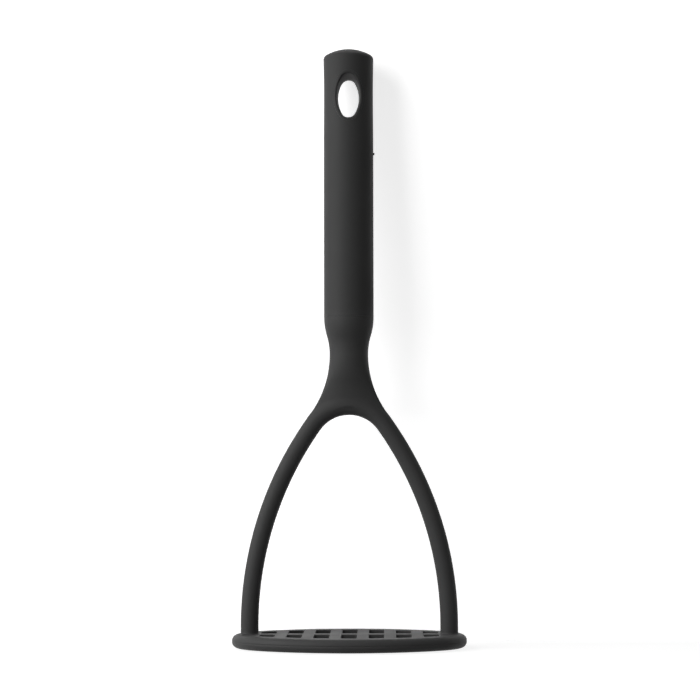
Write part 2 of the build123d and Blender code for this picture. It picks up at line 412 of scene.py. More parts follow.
class EdgeGroup(ShaderGroup):
    """The edges that wear rubs smooth, broken up by noise."""

    NAME = "rubbed_edges"

    @classmethod
    def make(cls) -> bpy.types.ShaderNodeTree:
        """Builds the group, which puts out a mask that is highest on rubbed edges."""
        tree = cls.start({"Start": 0.52, "Full": 0.60, "Break Up Size": 1.5 * MM}, ("Mask",))
        given, result = add_node(tree, "NodeGroupInput"), add_node(tree, "NodeGroupOutput")
        shape = add_node(tree, "ShaderNodeNewGeometry")
        limits = {
            "Value": shape.outputs["Pointiness"],
            "From Min": given.outputs["Start"],
            "From Max": given.outputs["Full"],
        }
        ramp = add_node(tree, "ShaderNodeMapRange", limits, interpolation_type="SMOOTHSTEP")
        factors = {0: ramp.outputs["Result"], 1: add_noise(tree, given.outputs["Break Up Size"], 2.0)}
        product = add_node(tree, "ShaderNodeMath", factors, operation="MULTIPLY")
        feed(result, {"Mask": product.outputs[0]})
        return tree


@dataclass(frozen=True)
class NylonFinish:
    """Matt black nylon as it leaves a fine-grained mould."""

    name: str
    colour: tuple[float, float, float] = (0.042, 0.042, 0.042)
    rubbed_colour: tuple[float, float, float] = (0.050, 0.050, 0.050)
    roughness: float = 0.55
    cloud_roughness: float = 0.05
    rubbed_roughness: float = 0.08
    specular_level: float = 0.32
    cloud_start: float = 0.3
    cloud_full: float = 0.7
    grain_size: float = 0.28
    grain_depth: float = 0.04
    grain_strength: float = 0.25

    def material(self) -> bpy.types.Material:
        """Builds the material.

        Returns:
            The material.
        """
        made = new_material(self.name)
        tree = made.node_tree
        size = {"Grain Size": self.grain_size * MM}
        grain = add_node(tree, "ShaderNodeGroup", size, node_tree=GrainGroup.get())
        mask = add_node(tree, "ShaderNodeGroup", node_tree=EdgeGroup.get()).outputs["Mask"]
        colours = {"Factor": mask, "A": (*self.colour, 1.0), "B": (*self.rubbed_colour, 1.0)}
        tint = add_node(tree, "ShaderNodeMix", colours, data_type="RGBA")
        spread = {
            "Value": grain.outputs["Cloud"],
            "From Min": self.cloud_start,
            "From Max": self.cloud_full,
            "To Min": self.roughness - self.cloud_roughness,
            "To Max": self.roughness + self.cloud_roughness,
        }
        clouds = add_node(tree, "ShaderNodeMapRange", spread)
        rubbing = {0: mask, 1: -self.rubbed_roughness, 2: clouds.outputs["Result"]}
        rubbed = add_node(tree, "ShaderNodeMath", rubbing, operation="MULTIPLY_ADD")
        relief = {
            "Strength": self.grain_strength,
            "Distance": self.grain_depth * MM,
            "Height": grain.outputs["Height"],
        }
        bump = add_node(tree, "ShaderNodeBump", relief)
        nylon = {
            "Base Color": tint.outputs["Result"],
            "Roughness": rubbed.outputs[0],
            "Specular IOR Level": self.specular_level,
            "IOR": 1.5,
            "Normal": bump.outputs["Normal"],
        }
        feed(tree.nodes["Principled BSDF"], nylon)
        return made


@dataclass(frozen=True)
class DrawnSteelFinish:
    """Bright steel wire with the faint lines of its drawing."""

    name: str
    colour: tuple[float, float, float] = (0.56, 0.55, 0.53)
    roughness: float = 0.32
    line_roughness: float = 0.08
    line_size: float = 0.2

    def material(self) -> bpy.types.Material:
        """Builds the material.

        Returns:
            The material.
        """
        made = new_material(self.name)
        tree = made.node_tree
        size = {"Grain Size": self.line_size * MM}
        grain = add_node(tree, "ShaderNodeGroup", size, node_tree=GrainGroup.get())
        spread = {
            "Value": grain.outputs["Height"],
            "To Min": self.roughness - self.line_roughness,
            "To Max": self.roughness + self.line_roughness,
        }
        lines = add_node(tree, "ShaderNodeMapRange", spread)
        steel = {"Metallic": 1.0, "Base Color": (*self.colour, 1.0), "Roughness": lines.outputs["Result"]}
        feed(tree.nodes["Principled BSDF"], steel)
        return made


@dataclass
class MasherPlate:
    """Oval plate with a full-round rim, two rows of slots and a fillet round each foot."""

    end_radius_share: float = 0.79
    rim_band_height: float = 0.4
    rim_groove_depth: float = 0.14
    end_land: float = 7.65
    side_land: float = 10.0
    field_end_share: float = 0.715
    slot_width: float = 6.9
    rib_width: float = 5.3
    spine_width: float = 7.8
    slot_corner_radius: float = 0.9
    slot_lip_radius: float = 0.45
    columns_each_side: int = 3
    flat_margin: float = 0.2
    foot_inset: float = 7.9
    arm_radius: float = 4.0
    foot_fillet_radius: float = 0.7
    foot_fillet_bite: float = 0.3
    socket_radius: float = 2.55
    socket_depth: float = 4.4
    outline_spacing: float = 1.2
    rim_steps: int = 14
    slot_steps: int = 8
    lip_steps: int = 5
    fillet_steps: int = 6
    foot_points: int = 48

    def __post_init__(self) -> None:
        """Reads the plate's length, width and thickness from the frame."""
        high = node_box("masher_plate")[1]
        self.half_length = high.x
        self.half_width = high.y
        self.thickness = high.z
        self.rim_radius = (self.thickness - self.rim_band_height) / 2

    def rim_profile(self) -> list[Pair]:
        """Offsets from the plate's outline with their heights, round the rim from top to bottom."""
        radius = self.rim_radius
        middle = self.thickness / 2
        margin = radius + self.flat_margin
        upper = arc((-radius, self.thickness - radius), radius, 90, 0, self.rim_steps)
        lower = arc((-radius, radius), radius, 0, -90, self.rim_steps)
        return [(-margin, self.thickness), *upper, (-self.rim_groove_depth, middle), *lower, (-margin, 0.0)]

    def slot_profile(self) -> list[Pair]:
        """Offsets from a slot's outline with their heights, down its wall and both rounded lips."""
        lip = self.slot_lip_radius
        margin = lip + self.flat_margin
        top = self.thickness
        upper = arc((lip, top - lip), lip, 90, 180, self.lip_steps)
        lower = arc((lip, lip), lip, 180, 270, self.lip_steps)
        wall = [(0.0, top - margin), (0.0, margin)]
        return [(margin, top), *upper, *wall, *lower, (margin, 0.0)]

    def foot_profile(self) -> list[Pair]:
        """Distances from a foot's axis with their heights, up its fillet and down into its socket."""
        fillet = self.foot_fillet_radius
        top = self.thickness
        outer = self.arm_radius + fillet
        curve = arc((outer, top + fillet), fillet, 270, 180, self.fillet_steps)
        inner = self.arm_radius - self.foot_fillet_bite
        socket, floor = self.socket_radius, top - self.socket_depth
        inside = [(inner, top + fillet), (inner, top), (socket, top), (socket, floor)]
        return [(outer + self.flat_margin, top), *curve, *inside]

    def slot_outline(self, column: int) -> Outline:
        """Outline of a rear slot, as the middle line of its rounded corners.

        Args:
            column: Number of the column, 0 in the middle.

        Returns:
            The outline, which an offset by the corner radius makes the slot's wall.
        """
        radius = self.slot_corner_radius
        middle = column * (self.slot_width + self.rib_width)
        left = middle - self.slot_width / 2 + radius
        right = middle + self.slot_width / 2 - radius
        near = self.spine_width / 2 + radius
        field_half_width = self.half_width - self.side_land
        end_radius = field_half_width * self.field_end_share
        field = Oval(self.half_length - self.end_land, field_half_width, end_radius).inset(radius)
        start, end = field.upper_angle_at(right), field.upper_angle_at(left)
        far_right, far_left = field.point(start), field.point(end)

        points: list[Pair] = []
        angles: list[float] = []

        def straight(first: Pair, last: Pair, angle: float) -> None:
            """Adds the inner points of a straight side."""
            for share in np.linspace(0, 1, self.slot_steps + 1)[1:-1]:
                points.append(tuple(np.array(first) + share * (np.array(last) - np.array(first))))
                angles.append(angle)

        def corner(place: Pair, first: float, last: float) -> None:
            """Adds the fan of a rounded corner."""
            for angle in np.linspace(first, last, self.slot_steps + 1):
                points.append(place)
                angles.append(angle)

        quarter = math.pi / 2
        corner((right, near), -quarter, 0)
        straight((right, near), far_right, 0)
        corner(far_right, 0, start)
        for angle in np.linspace(start, end, self.slot_steps + 1)[1:-1]:
            points.append(field.point(angle))
            angles.append(angle)
        corner(far_left, end, math.pi)
        straight(far_left, (left, near), math.pi)
        corner((left, near), math.pi, 3 * quarter)
        straight((left, near), (right, near), 3 * quarter)
        return Outline(np.array(points), np.column_stack([np.cos(angles), np.sin(angles)]))

    def build(self, material: bpy.types.Material) -> list[bpy.types.Object]:
        """Builds and dresses the plate.

        Args:
            material: The plate's nylon.

        Returns:
            The plate.
        """
        builder = MeshBuilder()
        plate = Oval(self.half_length, self.half_width, self.half_width * self.end_radius_share)
        rim = builder.sweep(plate.outline(self.outline_spacing), self.rim_profile())
        top_rings, bottom_rings = [rim[0]], [rim[-1]]

        lip_profile = [(self.slot_corner_radius + offset, height) for offset, height in self.slot_profile()]
        for column in range(-self.columns_each_side, self.columns_each_side + 1):
            rear = self.slot_outline(column)
            for outline in (rear, rear.mirrored()):
                walls = builder.sweep(outline, lip_profile)
                top_rings.append(walls[0])
                bottom_rings.append(walls[-1])

        foot_x = self.half_length - self.foot_inset
        for side in (-1, 1):
            foot = circle_outline((side * foot_x, 0.0), self.foot_points)
            seat = builder.sweep(foot, self.foot_profile())
            top_rings.append(seat[0])
            builder.fill([seat[-1]])
        builder.fill(top_rings)
        builder.fill(bottom_rings)

        piece = builder.build("masher_plate_body")
        dress(piece, material)
        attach(piece, BODY)
        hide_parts("masher_plate")
        return [piece]


def s_curve(height: np.ndarray, low: float, high: float, start: float, end: float) -> np.ndarray:
    """Values on an S of two equal arcs, upright at both of its ends.

    Args:
        height: Heights.
        low: Height of the lower end.
        high: Height of the upper end.
        start: Value at the lower end.
        end: Value at the upper end.

    Returns:
        The value at each height.
    """
    run = (high - low) / 2
    rise = abs(end - start) / 2
    way = math.copysign(1.0, end - start)
    radius = (run**2 + rise**2) / (2 * rise)
    step = np.clip(height - low, 0, 2 * run)
    lower = start + way * (radius - np.sqrt(radius**2 - np.minimum(step, run) ** 2))
    upper = end - way * (radius - np.sqrt(radius**2 - np.minimum(2 * run - step, run) ** 2))
    return np.where(step <= run, lower, upper)


def smooth_union(first: np.ndarray, second: np.ndarray, blend: float) -> np.ndarray:
    """Distances to two bodies that melt into each other in a hollow of a given size."""
    share = np.clip(0.5 + 0.5 * (second - first) / blend, 0, 1)
    return second + (first - second) * share - blend * share * (1 - share)


@dataclass
class Wishbone:
    """Arms, crown, yoke and neck in one moulding, with its pegs and its tang."""

    arm_radius: float = 4.0
    arm_straight_height: float = 3.75
    arm_bend_radius: float = 156.0
    crown_bend_radius: float = 19.8
    neck_length: float = 16.83
    waist_half_width: float = 8.7
    waist_half_depth: float = 7.7
    flare_radius: float = 45.0
    collar_corner_angle: float = 50.0
    yoke_corner_angle: float = 72.0
    web_sink: float = 0.12
    fade_depth: float = 1.1
    blend: float = 1.4
    spare_end: float = 2.6
    bend_points: int = 40
    crown_points: int = 14
    rough_turns: int = 24
    rough_rings: int = 40
    rough_lift: float = 2.0
    voxel: float = 0.6
    slope_step: float = 0.02
    least_steepness: float = 0.05
    settle_rounds: int = 8
    settle_step: float = 0.8
    plain_face_corners: int = 8
    peg_radius: float = 2.5
    peg_length: float = 4.2
    tang_width: float = 12.0
    tang_depth: float = 9.0
    tang_length: float = 55.0
    tang_corner_radius: float = 1.5
    tang_corner_points: int = 7
    tang_top_steps: int = 6
    peg_points: int = 40
    collar_gap: float = 0.05

    def __post_init__(self) -> None:
        """Works out the joints between the arcs from the frame and the sizes above."""
        high = node_box("wishbone_frame")[1]
        self.foot_x = high.x - self.arm_radius
        self.plate_top = node_box("masher_plate")[1].z
        self.handle_radius = high.y
        self.collar_height = node_box("handle_rear_shell")[0].z - self.collar_gap
        self.arm_bend_height = self.plate_top + self.arm_straight_height
        self.arm_bend_centre_x = self.foot_x - self.arm_bend_radius
        reach = self.arm_bend_radius - self.crown_bend_radius
        self.lean = math.acos(-self.arm_bend_centre_x / reach)
        self.crown_centre_height = self.arm_bend_height + reach * math.sin(self.lean)
        self.crown_top_height = self.crown_centre_height + self.crown_bend_radius
        self.yoke_foot_height = self.crown_centre_height + self.crown_bend_radius * math.sin(self.lean)
        self.waist_height = self.collar_height - self.neck_length
        self.flare_centre_x = self.waist_half_width + self.flare_radius
        outer = self.arm_bend_radius + self.arm_radius
        flare_rise = self.waist_height - self.arm_bend_height
        self.flare_join_height = self.arm_bend_height + flare_rise * outer / (outer + self.flare_radius)

    def half_width(self, height: np.ndarray) -> np.ndarray:
        """Half width of the neck and yoke at given heights, seen from the front."""
        neck = s_curve(
            height, self.waist_height, self.collar_height, self.waist_half_width, self.handle_radius
        )
        fall = np.clip(self.waist_height - height, 0, self.flare_radius)
        flare = self.flare_centre_x - np.sqrt(self.flare_radius**2 - fall**2)
        outer = self.arm_bend_radius + self.arm_radius
        arm = self.arm_bend_centre_x + np.sqrt(outer**2 - (height - self.arm_bend_height) ** 2)
        below = np.where(height >= self.flare_join_height, flare, arm)
        return np.where(height >= self.waist_height, neck, below)

    def half_depth(self, height: np.ndarray) -> np.ndarray:
        """Half depth of the neck and yoke at given heights, seen from the side."""
        web = self.arm_radius - self.web_sink
        neck = s_curve(
            height, self.waist_height, self.collar_height, self.waist_half_depth, self.handle_radius
        )
        yoke = s_curve(height, self.crown_top_height, self.waist_height, web, self.waist_half_depth)
        return np.where(height >= self.waist_height, neck, yoke)

    def neck_distance(self, points: np.ndarray) -> np.ndarray:
        """Distance to the neck and yoke, which fade into the hoop at their foot.

        Args:
            points: Points in space.

        Returns:
            The distances, less than zero inside.
        """
        x, y, height = np.abs(points[:, 0]), np.abs(points[:, 1]), points[:, 2]
        way_down = (self.collar_height - height) / (self.collar_height - self.yoke_foot_height)
        way_down = np.clip(way_down, 0, 1)
        corner_change = self.yoke_corner_angle - self.collar_corner_angle
        turn = np.radians(self.collar_corner_angle + way_down * corner_change)
        fade_run = self.crown_top_height - self.yoke_foot_height
        fade = np.clip((self.crown_top_height - height) / fade_run, 0, 3)
        width = self.half_width(height) - self.fade_depth * fade
        depth = self.half_depth(height) - self.fade_depth * fade
        spread = (width - depth) / (np.sin(turn) + np.cos(turn) - 1)
        run, drop = spread * np.cos(turn), spread * np.sin(turn)
        end = np.hypot(x - run, y) - (width - run)
        flank = np.hypot(x, y + drop) - (depth + drop)
        section = np.where((y + drop) * run < x * drop, end, flank)
        arch = self.crown_bend_radius - np.hypot(x, height - self.crown_centre_height)
        return np.maximum(section, arch)

    def hoop_distance(self, points: np.ndarray) -> np.ndarray:
        """Distance to the round hoop of arms and crown.

        Args:
            points: Points in space.

        Returns:
            The distances, less than zero inside.
        """
        x, y, height = np.abs(points[:, 0]), points[:, 1], points[:, 2]
        from_bend_x, from_bend_z = x - self.arm_bend_centre_x, height - self.arm_bend_height
        bend = np.hypot(from_bend_x, from_bend_z) - self.arm_bend_radius
        crown = np.hypot(x, height - self.crown_centre_height) - self.crown_bend_radius
        curved = np.where(np.arctan2(from_bend_z, from_bend_x) < self.lean, bend, crown)
        across = np.where(height < self.arm_bend_height, x - self.foot_x, curved)
        return np.hypot(across, y) - self.arm_radius

    def distance(self, points: np.ndarray) -> np.ndarray:
        """Distance to the whole moulding above the plate."""
        return smooth_union(self.hoop_distance(points), self.neck_distance(points), self.blend)

    def slope(self, points: np.ndarray) -> np.ndarray:
        """How the distance changes along X, Y and Z, as one row of three slopes a point."""
        step = self.slope_step
        slopes = []
        for axis in range(3):
            move = np.zeros(3)
            move[axis] = step
            slopes.append((self.distance(points + move) - self.distance(points - move)) / (2 * step))
        return np.column_stack(slopes)

    def hoop_line(self) -> list[tuple[float, float, float]]:
        """Centreline of the hoop, from the right foot over the crown to the left foot.

        Returns:
            Places in X and Z, each with the angle of the way out.
        """
        right = [(self.foot_x, self.plate_top - self.spare_end, 0.0)]
        bend = (self.arm_bend_centre_x, self.arm_bend_height, self.arm_bend_radius)
        crown = (0.0, self.crown_centre_height, self.crown_bend_radius)
        bend_angles = np.linspace(0, self.lean, self.bend_points)
        crown_angles = np.linspace(self.lean, math.pi / 2, self.crown_points)[1:]
        for (centre_x, centre_z, radius), angles in ((bend, bend_angles), (crown, crown_angles)):
            for angle in angles:
                x = centre_x + radius * math.cos(angle)
                right.append((x, centre_z + radius * math.sin(angle), angle))
        left = [(-x, z, math.pi - angle) for x, z, angle in right[-2::-1]]
        return right + left

    def rough_body(self) -> bpy.types.Object:
        """The hoop and the neck as two plain bodies that overlap.

        Returns:
            An object that isn't in the scene for long.
        """
        builder = MeshBuilder()
        turns = np.linspace(0, 2 * math.pi, self.rough_turns, endpoint=False)
        rings = []
        for x, z, angle in self.hoop_line():
            out = self.arm_radius * np.cos(turns)
            ring = np.column_stack(
                [x + out * math.cos(angle), self.arm_radius * np.sin(turns), z + out * math.sin(angle)]
            )
            rings.append(builder.add(ring))
        builder.stack(rings)
        builder.cap(rings)

        rings = []
        foot, head = self.yoke_foot_height + self.rough_lift, self.collar_height + self.spare_end
        for height in np.linspace(foot, head, self.rough_rings):
            width = float(self.half_width(np.array(height)))
            depth = float(self.half_depth(np.array(height)))
            level = np.full(self.rough_turns, height)
            ring = np.column_stack([width * np.cos(turns), depth * np.sin(turns), level])
            rings.append(builder.add(ring))
        builder.stack(rings)
        builder.cap(rings)
        return builder.build("rough_wishbone")

    def settle(self, mesh: bpy.types.Mesh) -> None:
        """Draws every point of a mesh onto the moulding's surface.

        Args:
            mesh: The mesh, in metres.
        """
        flat = np.zeros(len(mesh.vertices) * 3)
        mesh.vertices.foreach_get("co", flat)
        points = flat.reshape(-1, 3) / MM
        # Each round moves the points along the slope towards the surface, by settle_step at most.
        for _ in range(self.settle_rounds):
            slope = self.slope(points)
            steepness = np.maximum((slope**2).sum(axis=1), self.least_steepness)
            move = slope * (self.distance(points) / steepness)[:, None]
            length = np.maximum(np.linalg.norm(move, axis=1), 1e-9)
            points -= move * np.minimum(1, self.settle_step / length)[:, None]
        mesh.vertices.foreach_set("co", (points * MM).ravel())
        mesh.update()

    @staticmethod
    def cut(work: bmesh.types.BMesh, height: float, side: Cut) -> None:
        """Cuts a mesh level and closes it there.

        Args:
            work: The mesh.
            height: Height of the cut.
            side: The side that is cut away.
        """
        bmesh.ops.bisect_plane(
            work,
            geom=[*work.verts, *work.edges, *work.faces],
            plane_co=(0, 0, height * MM),
            plane_no=(0, 0, side.value),
            clear_outer=True,
        )
        open_edges = [edge for edge in work.edges if edge.is_boundary]
        bmesh.ops.holes_fill(work, edges=open_edges, sides=0)

    def shade(self, mesh: bpy.types.Mesh) -> None:
        """Sets the shading from the moulding's own slope, with plain level cut faces.

        Args:
            mesh: The mesh, in metres.
        """
        mesh.shade_smooth()
        flat = np.zeros(len(mesh.vertices) * 3)
        mesh.vertices.foreach_get("co", flat)
        slope = self.slope(flat.reshape(-1, 3) / MM)
        normals = slope / np.linalg.norm(slope, axis=1)[:, None]
        corners = np.zeros(len(mesh.loops), int)
        mesh.loops.foreach_get("vertex_index", corners)
        shading = normals[corners]
        # The faces that close the two cuts are the only ones with many corners.
        for face in mesh.polygons:
            if len(face.vertices) > self.plain_face_corners:
                shading[face.loop_start : face.loop_start + face.loop_total] = face.normal
        mesh.normals_split_custom_set([tuple(row) for row in shading])

    def build_body(self) -> bpy.types.Object:
        """Builds the part of the moulding that shows.

        Returns:
            The body, undressed.
        """
        rough = self.rough_body()
        union = rough.modifiers.new("union", "REMESH")
        union.mode = "VOXEL"
        union.voxel_size = self.voxel * MM
        graph = bpy.context.evaluated_depsgraph_get()
        mesh = bpy.data.meshes.new_from_object(rough.evaluated_get(graph))
        bpy.data.objects.remove(rough)
        mesh.name = "wishbone_body"
        self.settle(mesh)
        work = bmesh.new()
        work.from_mesh(mesh)
        self.cut(work, self.plate_top, Cut.BELOW)
        self.cut(work, self.collar_height, Cut.ABOVE)
        bmesh.ops.recalc_face_normals(work, faces=work.faces)
        work.to_mesh(mesh)
        work.free()
        self.shade(mesh)
        piece = bpy.data.objects.new("wishbone_body", mesh)
        bpy.context.scene.collection.objects.link(piece)
        return piece

    def build_inserts(self) -> bpy.types.Object:
        """Builds the pegs under the feet and the tang inside the handle.

        Returns:
            The inserts, undressed.
        """
        builder = MeshBuilder()
        for side in (-1, 1):
            bottom = self.plate_top - self.peg_length
            profile = [(self.peg_radius, self.plate_top), (self.peg_radius, bottom)]
            peg = builder.sweep(circle_outline((side * self.foot_x, 0.0), self.peg_points), profile)
            builder.cap(peg)
        radius = self.tang_corner_radius
        half_width, half_depth = self.tang_width / 2 - radius, self.tang_depth / 2 - radius
        points, angles = [], []
        for index, (side_x, side_y) in enumerate(((1, 1), (-1, 1), (-1, -1), (1, -1))):
            for angle in np.radians(np.linspace(90 * index, 90 * (index + 1), self.tang_corner_points)):
                points.append((side_x * half_width, side_y * half_depth))
                angles.append(angle)
        outline = Outline(np.array(points), np.column_stack([np.cos(angles), np.sin(angles)]))
        top = self.collar_height + self.tang_length
        rounding = arc((0.0, top - radius), radius, 0, 90, self.tang_top_steps)
        tang = builder.sweep(outline, [(radius, self.collar_height), *rounding])
        builder.cap(tang)
        return builder.build("wishbone_inserts")

    def build(self, material: bpy.types.Material) -> list[bpy.types.Object]:
        """Builds and dresses the moulding.

        Args:
            material: The frame's nylon.

        Returns:
            The body that shows, and the pegs and tang that don't.
        """
        body, inserts = self.build_body(), self.build_inserts()
        for piece in (body, inserts):
            dress(piece, material)
            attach(piece, BODY)
            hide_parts("wishbone_frame")
        return [body, inserts]


@dataclass
class HandleShape:
    """Outside of the handle, and the oval of its hang hole."""

    plain_drop: float = 44.0
    waist_drop: float = 21.0
    waist_radius: float = 11.1
    top_radius: float = 11.35
    plain_radius: float = 11.2
    dome_rise: float = 3.5
    dome_edge_radius: float = 2.3
    throat_height: float = 17.5
    throat_width: float = 9.3
    hole_end_share: float = 0.66
    liner_wall: float = 1.4
    liner_shoulder: float = 1.0
    wall: float = 2.4

    def __post_init__(self) -> None:
        """Reads the handle's ends and its hole from the frame, and works out the dome."""
        low, high = node_box("handle_rear_shell")
        self.bottom = low.z
        self.top = high.z
        self.dome_foot = self.top - self.dome_rise
        self.dome_radius = (self.top_radius**2 + self.dome_rise**2) / (2 * self.dome_rise)
        self.dome_centre = self.top - self.dome_radius
        self.edge_centre_radius = self.top_radius - self.dome_edge_radius
        edge_reach = self.dome_radius - self.dome_edge_radius
        rise = math.sqrt(edge_reach**2 - self.edge_centre_radius**2)
        self.edge_centre_height = self.dome_centre + rise
        self.edge_angle = math.degrees(math.atan2(rise, self.edge_centre_radius))
        hole_low, hole_high = node_box("hang_hole_liner")
        self.hole_height = (hole_low.z + hole_high.z) / 2
        grow = self.liner_wall + self.liner_shoulder
        self.mouth = self.hole_oval((hole_high.z - hole_low.z) / 2 - grow, hole_high.x - grow)
        self.throat = self.hole_oval(self.throat_height / 2, self.throat_width / 2)

    def hole_oval(self, half_height: float, half_width: float) -> Oval:
        """Oval of the hang hole's kind."""
        return Oval(half_height, half_width, half_width * self.hole_end_share)

    def radius_at(self, height: float) -> float:
        """Radius of the handle's side at a height."""
        plain_top, waist = self.top - self.plain_drop, self.top - self.waist_drop
        if height <= plain_top:
            return self.plain_radius
        if height <= waist:
            share = (height - plain_top) / (waist - plain_top)
            eased = share**2 * (3 - 2 * share)
            return self.plain_radius + eased * (self.waist_radius - self.plain_radius)
        share = (height - waist) / (self.dome_foot - waist)
        return self.waist_radius + share**2 * (self.top_radius - self.waist_radius)


@dataclass
class HandleSkin:
    """One half of the handle: outside, inside, seam and the opening for the sleeve."""

    shape: HandleShape
    half: Half
    plain_rows: int = 24
    block_columns: int = 24
    block_rows: int = 24
    columns: int = 42
    block_half_height: float = 15.0
    patch_rings: int = 8
    patch_ease: float = 1.3
    opening_spacing: float = 0.05
    top_rows: int = 3
    edge_steps: int = 7
    dome_steps: int = 12
    sleeve_gap: float = 0.03
    seam_turn: float = 1.2
    seam_depth: float = 0.08
    nub_rise: float = 74.0
    nub_radius: float = 0.6
    nub_points: int = 16

    def profile(self) -> list[tuple[float, float, float, float]]:
        """Rows of the skin from the collar to the middle of the dome.

        Returns:
            Outer radius and height, then inner radius and height, of each row.
        """
        shape = self.shape
        block_low = shape.hole_height - self.block_half_height
        block_high = shape.hole_height + self.block_half_height
        heights = [
            *np.linspace(shape.bottom, block_low, self.plain_rows + 1)[:-1],
            *np.linspace(block_low, block_high, self.block_rows + 1),
            *np.linspace(block_high, shape.edge_centre_height, self.top_rows + 1)[1:],
        ]
        inner_radius = shape.plain_radius - shape.wall
        inner_top = shape.dome_centre + math.sqrt((shape.dome_radius - shape.wall) ** 2 - inner_radius**2)
        rows = [(shape.radius_at(z), z, inner_radius, min(z, inner_top)) for z in heights]
        edge_centre = (shape.edge_centre_radius, shape.edge_centre_height)
        for r, z in arc(edge_centre, shape.dome_edge_radius, 0, shape.edge_angle, self.edge_steps)[1:]:
            rows.append((r, z, inner_radius, inner_top))
        dome_centre = (0.0, shape.dome_centre)
        outer = arc(dome_centre, shape.dome_radius, shape.edge_angle, 90, self.dome_steps)[1:]
        inner_start = math.degrees(math.atan2(inner_top - shape.dome_centre, inner_radius))
        inner = arc(dome_centre, shape.dome_radius - shape.wall, inner_start, 90, self.dome_steps)[1:]
        rows.extend((*there, *here) for there, here in zip(outer, inner))
        return rows

    def turns(self) -> np.ndarray:
        """Angles of the columns from the middle of the half, in radians."""
        even = np.linspace(-90, 90, self.columns + 1)
        beside_seam = 90 - self.seam_turn
        return np.radians([-90, -beside_seam, *even[1:-1], beside_seam, 90])

    def place(self, turn: float, radius: float, height: float) -> tuple[float, float, float]:
        """Point of this half, by its angle from the half's middle, its radius and its height."""
        return radius * math.sin(turn), self.half.value * radius * math.cos(turn), height

    def opening(self) -> tuple[np.ndarray, np.ndarray]:
        """Points of the sleeve's opening, one for each point round the block.

        Returns:
            Places across and along the handle, and the shares of the block's edge they belong to.
        """
        across = np.linspace(-1, 1, self.block_columns + 1)
        along = np.linspace(-1, 1, self.block_rows + 1)
        edge = [(value, -1.0) for value in across[:-1]]
        edge += [(1.0, value) for value in along[:-1]]
        edge += [(value, 1.0) for value in across[:0:-1]]
        edge += [(-1.0, value) for value in along[:0:-1]]
        shares = np.array(edge)
        grow = self.shape.liner_wall + self.sleeve_gap
        oval = self.shape.mouth.inset(-grow)
        dense = oval.outline(self.opening_spacing).points
        dense_angles = np.arctan2(dense[:, 0] / oval.half_length, dense[:, 1] / oval.half_width)
        order = np.argsort(dense_angles)
        wanted = np.arctan2(shares[:, 1], shares[:, 0])
        span = 2 * math.pi
        along_oval = np.interp(wanted, dense_angles[order], dense[order, 0], period=span)
        across_oval = np.interp(wanted, dense_angles[order], dense[order, 1], period=span)
        return np.column_stack([across_oval, along_oval]), shares

    def add_rows(self, builder: MeshBuilder, inside: bool) -> list[list[int]]:
        """Adds the points of the outer or the inner surface, drawn in a little at the seam outside.

        Args:
            builder: Mesh that gets the points.
            inside: Whether it is the inner surface.

        Returns:
            The rows of points, from the collar to the middle of the dome.
        """
        turns = self.turns()
        rows = []
        for outer_radius, outer_height, inner_radius, inner_height in self.profile():
            radius, height = (inner_radius, inner_height) if inside else (outer_radius, outer_height)
            row = []
            for index, turn in enumerate(turns):
                drawn_in = 0.0
                if index in (0, len(turns) - 1) and not inside and radius > self.seam_depth:
                    drawn_in = self.seam_depth
                row.append(self.place(turn, radius - drawn_in, height))
            rows.append(builder.add(np.array(row)))
        return rows

    def add_patch(self, builder: MeshBuilder, inside: bool, ring: list[int], block_turn: float) -> list[int]:
        """Adds the faces between the edge of the block and the sleeve's opening.

        Args:
            builder: Mesh that gets the faces.
            inside: Whether they are on the inner surface.
            ring: Numbers of the points round the block.
            block_turn: Angle from the middle to the side of the block.

        Returns:
            The ring round the opening.
        """
        hole, shares = self.opening()
        inner_radius = self.shape.plain_radius - self.shape.wall
        previous = ring
        for step in range(1, self.patch_rings + 1):
            share = step / self.patch_rings
            eased = 1 - (1 - share) ** self.patch_ease
            points = []
            for (across, along), (edge_turn, edge_height) in zip(hole, shares):
                hole_height = self.shape.hole_height + along
                hole_radius = inner_radius if inside else self.shape.radius_at(hole_height)
                hole_turn = math.asin(across / hole_radius)
                edge_z = self.shape.hole_height + edge_height * self.block_half_height
                turn = edge_turn * block_turn + eased * (hole_turn - edge_turn * block_turn)
                height = edge_z + eased * (hole_height - edge_z)
                radius = inner_radius if inside else self.shape.radius_at(height)
                points.append(self.place(turn, radius, height))
            current = builder.add(np.array(points))
            builder.bridge(previous, current)
            previous = current
        return previous

    def add_surface(self, builder: MeshBuilder, inside: bool) -> tuple[list[list[int]], list[int]]:
        """Adds the outer or the inner surface, with the opening left free.

        Args:
            builder: Mesh that gets the surface.
            inside: Whether it is the inner surface.

        Returns:
            The rows of points, and the ring round the opening.
        """
        rows = self.add_rows(builder, inside)
        turns = self.turns()
        first_row = self.plain_rows
        last_row = first_row + self.block_rows
        middle = len(turns) // 2
        first_column = middle - self.block_columns // 2
        last_column = middle + self.block_columns // 2
        for row in range(len(rows) - 1):
            for column in range(len(turns) - 1):
                if first_row <= row < last_row and first_column <= column < last_column:
                    continue
                low, high = rows[row], rows[row + 1]
                builder.faces.append((low[column], low[column + 1], high[column + 1], high[column]))

        ring = [rows[first_row][column] for column in range(first_column, last_column)]
        ring += [rows[row][last_column] for row in range(first_row, last_row)]
        ring += [rows[last_row][column] for column in range(last_column, first_column, -1)]
        ring += [rows[row][first_column] for row in range(last_row, first_row, -1)]
        return rows, self.add_patch(builder, inside, ring, float(turns[last_column]))

